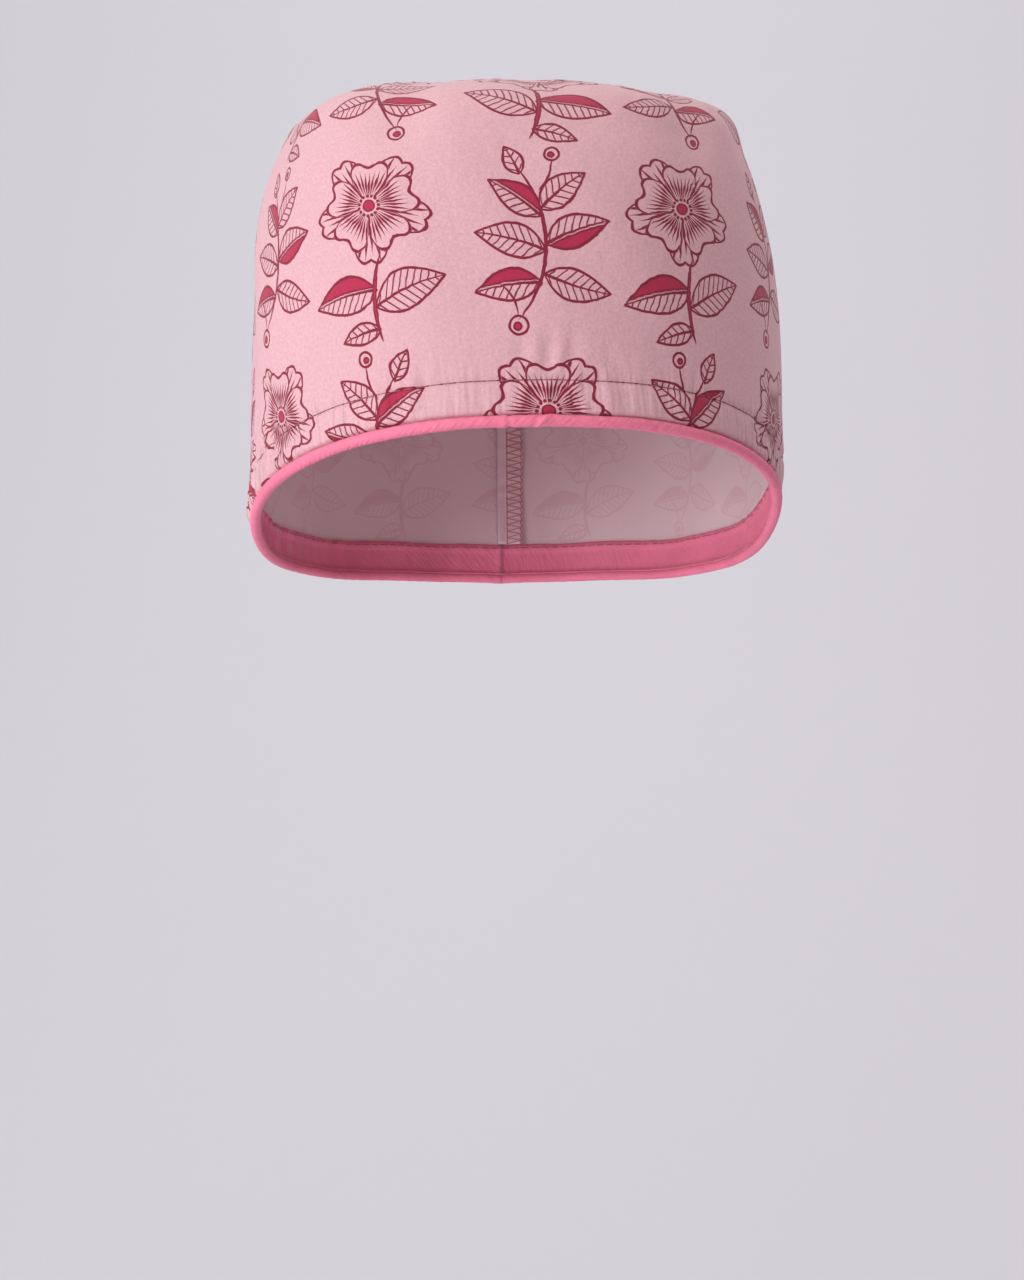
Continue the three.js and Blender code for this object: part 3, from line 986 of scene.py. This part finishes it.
class SCRUBCAP_OT_crown(bpy.types.Operator):
    """Builds the oval crown panel"""

    bl_idname = "scrubcap.crown"
    bl_label = "Crown panel"

    def execute(self, context):
        sizes, form = cap_sizes(), Form(cap_sizes())
        turns = spread(-pi, pi, CROWN_COLUMNS)
        start, end = form.station("seam") + SEAM_SLIT, form.station("apex")
        stations = start + (end - start) * np.linspace(0, 1, CROWN_ROWS, endpoint=False)[:, None]
        turns, stations = np.broadcast_arrays(turns, stations)
        outer = form.cloth_point(turns, stations)
        inner = form.cloth_point(turns, stations, sizes.cloth_thickness / MM)
        points, faces, slots = shell(outer, inner, closed=True)
        rims = len(faces) - CROWN_COLUMNS * 2
        top_rims = {rims + 2 * j + 1 for j in range(CROWN_COLUMNS)}
        faces = [face for i, face in enumerate(faces) if i not in top_rims]
        slots = [slot for i, slot in enumerate(slots) if i not in top_rims]
        count = CROWN_ROWS * CROWN_COLUMNS
        last = (CROWN_ROWS - 1) * CROWN_COLUMNS
        middles = [points[last:count].mean(0), points[count + last:].mean(0)]
        points = np.concatenate([points, middles])
        for j in range(CROWN_COLUMNS):
            k = (j + 1) % CROWN_COLUMNS
            faces.append((last + j, last + k, 2 * count))
            faces.append((count + last + k, count + last + j, 2 * count + 1))
            slots += [0, 1]
        places = points[:, :2]
        front = printed_cotton("crown_cotton", sizes, CROWN_PRINT_SHIFT)
        back = cotton_back("crown_cotton_back", sizes, CROWN_PRINT_SHIFT)
        crown = mesh_piece(
            "crown_panel_cloth", points, faces, [front, back, back], slots, places)
        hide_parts("crown_panel")
        return {"FINISHED"}


PIPING_STEPS = 1000
PIPING_SIDES = 24
RIPPLE_DEPTH = 0.055
SWELL_DEPTH = 0.035
JOIN_TURN = radians(-3.8)
WRINKLE_TURN = radians(2.3)
WRINKLE_SLANT = 0.85
JOIN_DIP, JOIN_DIP_WIDTH = 0.3, 0.45
JOIN_RIDGE, JOIN_RIDGE_WIDTH, JOIN_RIDGE_ASIDE = 0.14, 0.8, 1.1
WRINKLE_HEIGHT, WRINKLE_LENGTH = 0.36, 2.4
WRINKLE_DIP, WRINKLE_DIP_WIDTH, WRINKLE_DIP_ASIDE = 0.2, 0.55, 0.9


class SCRUBCAP_OT_piping(bpy.types.Operator):
    """Builds the corded piping, with its bias ripples, its join and a wrinkle beside it"""

    bl_idname = "scrubcap.piping"
    bl_label = "Edge piping"

    def execute(self, context):
        sizes, form = cap_sizes(), Form(cap_sizes())
        path, turns, sideways, upwards = edge_line(form, PIPING_STEPS)
        along = np.concatenate([[0], np.cumsum(np.linalg.norm(np.diff(path, axis=0), axis=1))])
        angles = spread(*TUBE_ANGLES, PIPING_SIDES)
        s, a = np.meshgrid(along, angles, indexing="ij")
        arm = form.piping_radius
        ripple = waves(31, 2.2, 6.5)(s + a * arm * 1.1) * RIPPLE_DEPTH
        swell = waves(8, 14, 60)(s) * SWELL_DEPTH
        join_at = np.interp(JOIN_TURN, turns, along)
        fold_at = np.interp(WRINKLE_TURN, turns, along)
        ridge = JOIN_RIDGE * hill(s - join_at + JOIN_RIDGE_ASIDE, JOIN_RIDGE_WIDTH)
        join = -JOIN_DIP * hill(s - join_at, JOIN_DIP_WIDTH) + ridge
        slant = s - fold_at - (a - pi / 2) * arm * WRINKLE_SLANT
        length = hill(np.maximum(slant, 0), WRINKLE_LENGTH)
        wrinkle = WRINKLE_HEIGHT * eased(slant, -0.45, 0.15) * length
        dip = WRINKLE_DIP * hill(slant + WRINKLE_DIP_ASIDE, WRINKLE_DIP_WIDTH)
        wrinkle = (wrinkle - dip) * hill(a, 1.5)
        radii = arm + ripple + swell + join + wrinkle
        points, faces = tube(path, radii, sideways, upwards, PIPING_SIDES, closed=True)
        places = np.stack([s, a * arm], -1).reshape(-1, 2)
        tone = list(sizes.piping_colour)
        piping = mesh_piece(
            "edge_piping_cord", points, faces, [plain_cotton("piping_cotton", tone, 0.3, True)],
            flat_places=places)
        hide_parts("edge_piping")
        return {"FINISHED"}


def edge_line(form, steps):
    """The middle line of the piping, with its turns and the two directions across it."""
    turns = spread(-pi, pi, steps)
    step = form.PROBE / form.half_width

    def line(turn):
        station = form.station_at_height(turn, form.edge_height(turn))
        outward = form.normals(form.folded_point, turn, station)
        return form.folded_point(turn, station) - outward * SOLID_WALL / 2, outward

    path, outward = line(turns)
    forward = line(turns + step)[0] - line(turns - step)[0]
    forward /= np.linalg.norm(forward, axis=1, keepdims=True)
    upwards = np.cross(outward, forward)
    upwards /= np.linalg.norm(upwards, axis=1, keepdims=True)
    sideways = np.cross(forward, upwards)
    return path, turns, sideways, upwards


# The facing's rows of points: distances above the piping's middle line from its lower edge, then
# distances down from its top edge. The tape is thicker where its top edge is folded under.
FACING_RISES = (1.3, 1.6, 1.9, 2.25, 2.7, 3.3, 4.2, 5.4, 6.6, 7.8)
FOLD_START, FOLD_FULL, FOLD_ROUNDED = 3.2, 2.4, 0.7
FACING_DROPS = (FOLD_START, 2.8, FOLD_FULL, 1.6, FOLD_ROUNDED, 0.35, 0.0)
FACING_GAP = 0.05
TAPE_THICKNESS = 0.45
TAPE_FOLD = 0.35
PIECE_GAP = 0.3


class SCRUBCAP_OT_facing(bpy.types.Operator):
    """Builds the facing inside the hem, with its top edge folded under"""

    bl_idname = "scrubcap.facing"
    bl_label = "Hem facing"

    def execute(self, context):
        sizes, form = cap_sizes(), Form(cap_sizes())
        turns = spread(-pi, pi, BAND_COLUMNS)
        top = form.piping_radius + PIECE_GAP + sizes.facing_height / MM
        rises = np.concatenate([FACING_RISES, top - np.array(FACING_DROPS)])
        stations = np.array([form.station_above_edge(turns, rise) for rise in rises])
        grid = np.broadcast_to(turns, stations.shape)
        behind = sizes.cloth_thickness / MM + FACING_GAP
        folded = TAPE_FOLD * eased(rises, top - FOLD_START, top - FOLD_FULL)
        folded = folded * (1 - eased(rises, top - FOLD_ROUNDED, top) * 0.6)
        turn_in = rolled_in(rises)
        near = behind + turn_in[:, None]
        outer = form.cloth_point(grid, stations, near)
        inner = form.cloth_point(grid, stations, near + TAPE_THICKNESS + folded[:, None])
        points, faces, _ = shell(outer, inner, closed=True)
        along = length_along(form.smooth_point(grid, stations), 1)
        places = np.stack([along, np.broadcast_to(rises[:, None], along.shape)], -1).reshape(-1, 2)
        tone = [c * 0.93 for c in sizes.piping_colour]
        finish = plain_cotton("facing_cotton", tone, THREAD_WIDTH, True, 0.25)
        facing = mesh_piece(
            "hem_facing_strip", points, faces, [finish], flat_places=np.concatenate([places] * 2))
        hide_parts("hem_facing")
        return {"FINISHED"}


def between(grid, row, column):
    """A grid's points at places between its rows and columns."""
    i = np.clip(np.floor(row).astype(int), 0, grid.shape[0] - 2)
    j = np.clip(np.floor(column).astype(int), 0, grid.shape[1] - 2)
    a, b = (row - i)[:, None], (column - j)[:, None]
    low = grid[i, j] * (1 - b) + grid[i, j + 1] * b
    high = grid[i + 1, j] * (1 - b) + grid[i + 1, j + 1] * b
    return low * (1 - a) + high * a


def thread_path(points, outward, radius, sides=5):
    """A thread along a path of points, with the direction away from the cloth at each."""
    forward = np.gradient(points, axis=0)
    forward /= np.linalg.norm(forward, axis=1, keepdims=True)
    side = np.cross(outward, forward)
    side /= np.linalg.norm(side, axis=1, keepdims=True)
    up = np.cross(forward, side)
    return tube(points, np.full((len(points), sides), radius), side, up, sides, closed=False)


OVERLOCK_PITCH = 2.4
OVERLOCK_WIDTH = 5.2
OVERLOCK_RADIUS = 0.16
ALLOWANCE_THICKNESS = 0.85
ALLOWANCE_GAP = 0.08
CROWN_ALLOWANCE = 8.0
BACK_ALLOWANCE = 8.5
BELOW_CROWN_ALLOWANCE = 1.2


def overlock(name, visible, width, material):
    """Overlock threads over the raw edge of an allowance. visible is the grid of the face that is
    seen, with the raw edge as its last row; width is its width."""
    along = length_along(visible, 1)[-1]
    count = int(along[-1] / OVERLOCK_PITCH)
    phase = np.linspace(0, count, count * 8 + 1)
    column = np.interp(phase * OVERLOCK_PITCH, along, np.arange(len(along)))
    last = visible.shape[0] - 1
    down = np.gradient(visible, axis=0)
    across = np.gradient(visible, axis=1)
    outward = np.cross(down, across)
    outward /= np.linalg.norm(outward, axis=-1, keepdims=True)
    zigzag = np.abs(2 * (phase % 1) - 1)
    threads = []
    edge_wave = 0.35 + 0.25 * np.sin(phase * 2 * pi)
    for reach in (0.2 + zigzag * OVERLOCK_WIDTH, edge_wave, np.full_like(phase, OVERLOCK_WIDTH)):
        row = last - reach / width * last
        points, away = between(visible, row, column), between(outward, row, column)
        threads.append(thread_path(points + away * OVERLOCK_RADIUS * 0.8, away, OVERLOCK_RADIUS))
    points, faces = join_parts(threads)
    return mesh_piece(name, points, faces, [material], flat_places=points[:, :2])


HEM_LENGTH = 560.0
STITCH_SIDES = 6


def stitch_tube(start, end, outward, radius, lift, steps=8):
    """One stitch: a thread that comes up at start, lies on the cloth and goes down at end."""
    share = np.linspace(0, 1, steps + 1)
    arch = lift * (1 - np.abs(2 * share - 1) ** 4) - radius * 0.6
    path = start + (end - start) * share[:, None] + outward * arch[:, None]
    forward = (end - start) / np.linalg.norm(end - start)
    side = np.cross(outward, forward)
    up = np.cross(forward, side)
    taper = radius * (1 - 0.35 * np.abs(2 * share - 1) ** 3)
    radii = np.repeat(taper[:, None], STITCH_SIDES, 1)
    side, up = (np.broadcast_to(way, (len(path), 3)) for way in (side, up))
    return tube(path, radii, side, up, STITCH_SIDES, closed=False)


def stitch_row(form, name, material, length_share, radius, lift, depth=0, sign=1, shift=0):
    """A row of stitches along the hem, all in one piece: the share of a stitch's length that each
    thread takes, its radius and rise off the cloth, its depth under the cloth's outer face, 1 for
    outside and -1 for inside, and a shift along the row as a share of a stitch."""
    rise = form.stitch_rise
    count = ceil(HEM_LENGTH / (form.sizes.stitch_length / MM))
    edges = spread(-pi, pi, count)
    width = edges[1] - edges[0]
    jitter = np.random.default_rng(4).uniform(-0.06, 0.06, count)
    gap = (1 - length_share) / 2
    ends = []
    for share in (gap + shift, 1 - gap + shift):
        turn = edges + (share + jitter) * width
        station = form.station_above_edge(turn, rise)
        ends.append(form.cloth_point(turn, station, depth))
    middle = edges + width * (0.5 + shift)
    outward = form.normals(form.folded_point, middle, form.station_above_edge(middle, rise))
    parts = [
        stitch_tube(start, end, normal * sign, radius, lift)
        for start, end, normal in zip(ends[0], ends[1], outward)
    ]
    points, faces = join_parts(parts)
    per_stitch = len(parts[0][0])
    order = np.arange(len(points))
    along, around = order % per_stitch // STITCH_SIDES, order % STITCH_SIDES
    places = np.stack([along * 0.4, around * 0.17], -1)
    return mesh_piece(name, points, faces, [material], flat_places=places)


class SCRUBCAP_OT_allowances(bpy.types.Operator):
    """Builds the overlocked seam allowances inside the crown seam and the back seam"""

    bl_idname = "scrubcap.allowances"
    bl_label = "Seam allowances"

    def execute(self, context):
        sizes, form = cap_sizes(), Form(cap_sizes())
        thread = thread_finish("overlock_thread", [c * 1.7 for c in sizes.thread_colour])
        back = plain_cotton("allowance_cotton", wrong_side(sizes.cloth_colour), sheen=0.2)
        self.crown_seam(sizes, form, back, thread)
        self.back_seam(sizes, form, back, thread)
        return {"FINISHED"}

    def crown_seam(self, sizes, form, cloth, thread):
        width, under = CROWN_ALLOWANCE, sizes.cloth_thickness / MM + ALLOWANCE_GAP
        turns = np.linspace(-pi, pi, 361)
        reach = np.linspace(0.0, width, 10)[:, None]
        stations = form.station("seam") - 0.3 - reach + 0 * turns
        grid = np.broadcast_to(turns, stations.shape)
        along = turns * form.half_width * 0.7
        wave = waves(44, 9, 40)
        lift = (0.55 + 0.5 * wave(along)) * (reach / width) ** 1.5
        under = under + np.maximum(lift, 0)
        near = form.cloth_point(grid, stations, under)
        far = form.cloth_point(grid, stations, under + ALLOWANCE_THICKNESS)
        near[:, -1], far[:, -1] = near[:, 0], far[:, 0]
        points, faces, _ = shell(near[:, :-1], far[:, :-1], closed=True)
        places = np.stack([0 * reach + along, reach + 0 * along], -1)[:, :-1].reshape(-1, 2)
        both = np.concatenate([places] * 2)
        mesh_piece("crown_seam_allowance", points, faces, [cloth], flat_places=both)
        overlock("crown_seam_overlock", far, width, thread)

    def back_seam(self, sizes, form, cloth, thread):
        width, under = BACK_ALLOWANCE, sizes.cloth_thickness / MM + ALLOWANCE_GAP
        lowest = form.piping_radius + PIECE_GAP + sizes.facing_height / MM + PIECE_GAP
        start = form.station_above_edge(pi, lowest)
        end = form.station("seam") - (CROWN_ALLOWANCE + BELOW_CROWN_ALLOWANCE)
        stations = np.linspace(start, end, 120)
        reach = np.linspace(-0.8, width, 10)[:, None]
        turns = pi - reach / form.back_reach + 0 * stations
        grid = np.broadcast_to(stations, turns.shape)
        wave = waves(45, 9, 40)
        lift = (0.6 + 0.55 * wave(stations)) * (np.maximum(reach, 0) / width) ** 1.5
        under = under + np.maximum(lift, 0)
        near = form.cloth_point(turns, grid, under)
        far = form.cloth_point(turns, grid, under + ALLOWANCE_THICKNESS)
        points, faces, _ = shell(far, near, closed=False)
        places = np.stack([0 * reach + stations, reach + 0 * stations], -1).reshape(-1, 2)
        both = np.concatenate([places] * 2)
        mesh_piece("back_seam_allowance", points, faces, [cloth], flat_places=both)
        overlock("back_seam_overlock", far, width, thread)


class SCRUBCAP_OT_stitches(bpy.types.Operator):
    """Builds the topstitching of the hem, outside and inside, with dark ticks of painted shade at its
    needle holes
    """

    bl_idname = "scrubcap.stitches"
    bl_label = "Topstitching"

    def execute(self, context):
        sizes, form = cap_sizes(), Form(cap_sizes())
        radius = sizes.thread_diameter / MM / 2
        thread = thread_finish("pale_thread", list(sizes.thread_colour))
        # The needle holes are not cut. Short dark threads at half the ink colour lie in the gaps
        # between the stitches and are painted shade of the holes.
        painted_hole_shade = thread_finish("needle_hole_shade", [c * 0.5 for c in sizes.ink_colour])
        stitch_row(form, "topstitch_outside", thread, 0.82, radius, 0.2)
        stitch_row(form, "needle_hole_shade_ticks", painted_hole_shade, 0.3, 0.15, 0.22, shift=0.5)
        inside = sizes.cloth_thickness / MM + FACING_GAP + TAPE_THICKNESS + TAPE_FOLD
        stitch_row(form, "topstitch_inside", thread, 0.8, radius, 0.12, inside, -1)
        return {"FINISHED"}


# Stage, light and camera

FLOOR_HEIGHT = -0.7
BACKDROP_START = 0.7
BACKDROP_WIDTH, BACKDROP_DEPTH, BACKDROP_HEIGHT, BACKDROP_BEND = 12.0, 5.0, 5.0, 1.4
PAPER_TONES = ((0.72, 0.698, 0.746), (0.742, 0.72, 0.768))
ROOM_COLOUR = (1.0, 0.975, 0.96, 1)
ROOM_STRENGTH = 0.49
CAP_MIDDLE = (0, 0, 0.02)

# The lamps: name, place, size in metres, power in watts, colour, and the point that each one faces.
LAMPS = (
    ("key", (-1.0, -0.75, 0.05), 0.85, 14.0, (0.945, 0.975, 1.0), CAP_MIDDLE),
    ("top", (0.2, -0.6, 1.3), 1.2, 0.9, (1.0, 0.99, 0.98), CAP_MIDDLE),
    ("wall", (0.3, 0.5, 1.9), 2.4, 24.0, (1.0, 1.0, 1.0), (0.3, 2.1, 0.0)),
)
CAMERA_TURN = -3.0
CAMERA_DISTANCE = 0.590
CAMERA_HEIGHT = -0.020
CAMERA_ASIDE = 0.0006
CAMERA_PITCH = -4.09
LENS = 53.44
LONG_SIDE = 36.0


def backdrop_points(width, depth, height, radius, steps=24):
    """A floor that curves up into a wall, as rows of points across the set."""
    bend = np.linspace(0, pi / 2, steps + 1)
    end = BACKDROP_START + radius
    ys = np.concatenate([[-depth], BACKDROP_START + radius * np.sin(bend), [end]])
    zs = np.concatenate([[0], radius * (1 - np.cos(bend)), [height]])
    left = np.stack([np.full_like(ys, -width / 2), ys, zs], -1)
    right = left * (-1, 1, 1)
    return np.stack([left, right], 1)


class SCRUBCAP_OT_stage(bpy.types.Operator):
    """Builds the floor, backdrop, lights and camera"""

    bl_idname = "scrubcap.stage"
    bl_label = "Stage"

    def execute(self, context):
        scene = context.scene
        self.backdrop(scene)
        self.lights(scene)
        self.camera(scene)
        scene.view_settings.view_transform = "Standard"
        return {"FINISHED"}

    def backdrop(self, scene):
        finish = Finish("studio_paper")
        place = finish.node("ShaderNodeTexCoord", None, None, output=3)
        cloud = finish.noise(place, 0.8, 2.0)
        tone = finish.mix(cloud, *PAPER_TONES)
        material = finish.surface(tone, 0.9)
        rows = backdrop_points(BACKDROP_WIDTH, BACKDROP_DEPTH, BACKDROP_HEIGHT, BACKDROP_BEND)
        mesh = bpy.data.meshes.new("backdrop")
        rows = rows + (0, 0, FLOOR_HEIGHT)
        mesh.from_pydata(rows.reshape(-1, 3).tolist(), [], grid_faces(len(rows), 2))
        mesh.materials.append(material)
        mesh.polygons.foreach_set("use_smooth", np.ones(len(mesh.polygons), dtype=bool))
        sheet = bpy.data.objects.new("backdrop", mesh)
        scene.collection.objects.link(sheet)

    def lights(self, scene):
        world = bpy.data.worlds.new("soft_room")
        world.use_nodes = True
        background = world.node_tree.nodes["Background"]
        background.inputs["Color"].default_value = ROOM_COLOUR
        background.inputs["Strength"].default_value = ROOM_STRENGTH
        scene.world = world
        for lamp in LAMPS:
            self.area_light(scene, *lamp)

    def area_light(self, scene, name, place, size, power, colour, target):
        data = bpy.data.lights.new(name, "AREA")
        data.size = size
        data.energy = power
        data.color = colour
        lamp = bpy.data.objects.new(name, data)
        lamp.location = place
        lamp.rotation_euler = (Vector(target) - Vector(place)).to_track_quat("-Z", "Y").to_euler()
        scene.collection.objects.link(lamp)

    def camera(self, scene):
        data = bpy.data.cameras.new("camera")
        data.lens = LENS
        data.sensor_width = LONG_SIDE
        camera = bpy.data.objects.new("camera", data)
        turn = radians(CAMERA_TURN)
        back = Vector((sin(turn), -cos(turn), 0))
        right = Vector((cos(turn), sin(turn), 0))
        height = Vector((0, 0, CAMERA_HEIGHT))
        camera.location = back * CAMERA_DISTANCE - right * CAMERA_ASIDE + height
        camera.rotation_euler = (radians(90 + CAMERA_PITCH), 0, turn)
        scene.collection.objects.link(camera)
        scene.camera = camera


# The panel, and the run of the whole script

OPERATORS = (
    SCRUBCAP_OT_band,
    SCRUBCAP_OT_crown,
    SCRUBCAP_OT_piping,
    SCRUBCAP_OT_facing,
    SCRUBCAP_OT_allowances,
    SCRUBCAP_OT_stitches,
    SCRUBCAP_OT_stage,
)


class SCRUBCAP_PT_panel(bpy.types.Panel):
    """Lists the sizes, colours and pieces of the cap"""

    bl_idname = "SCRUBCAP_PT_panel"
    bl_label = "Scrub cap"
    bl_space_type = "VIEW_3D"
    bl_region_type = "UI"
    bl_category = "Scrub cap"

    def draw(self, context):
        sizes = context.scene.scrub_cap_sizes
        for name in ScrubCapSizes.__annotations__:
            self.layout.prop(sizes, name)
        for operator in OPERATORS:
            self.layout.operator(operator.bl_idname)


CLASSES = (ScrubCapSizes, *OPERATORS, SCRUBCAP_PT_panel)


def register():
    for cls in CLASSES:
        bpy.utils.register_class(cls)
    bpy.types.Scene.scrub_cap_sizes = bpy.props.PointerProperty(type=ScrubCapSizes)


def unregister():
    del bpy.types.Scene.scrub_cap_sizes
    for cls in reversed(CLASSES):
        bpy.utils.unregister_class(cls)


def main():
    register()
    for operator in OPERATORS:
        group, name = operator.bl_idname.split(".")
        getattr(getattr(bpy.ops, group), name)()


if __name__ == "__main__":
    main()
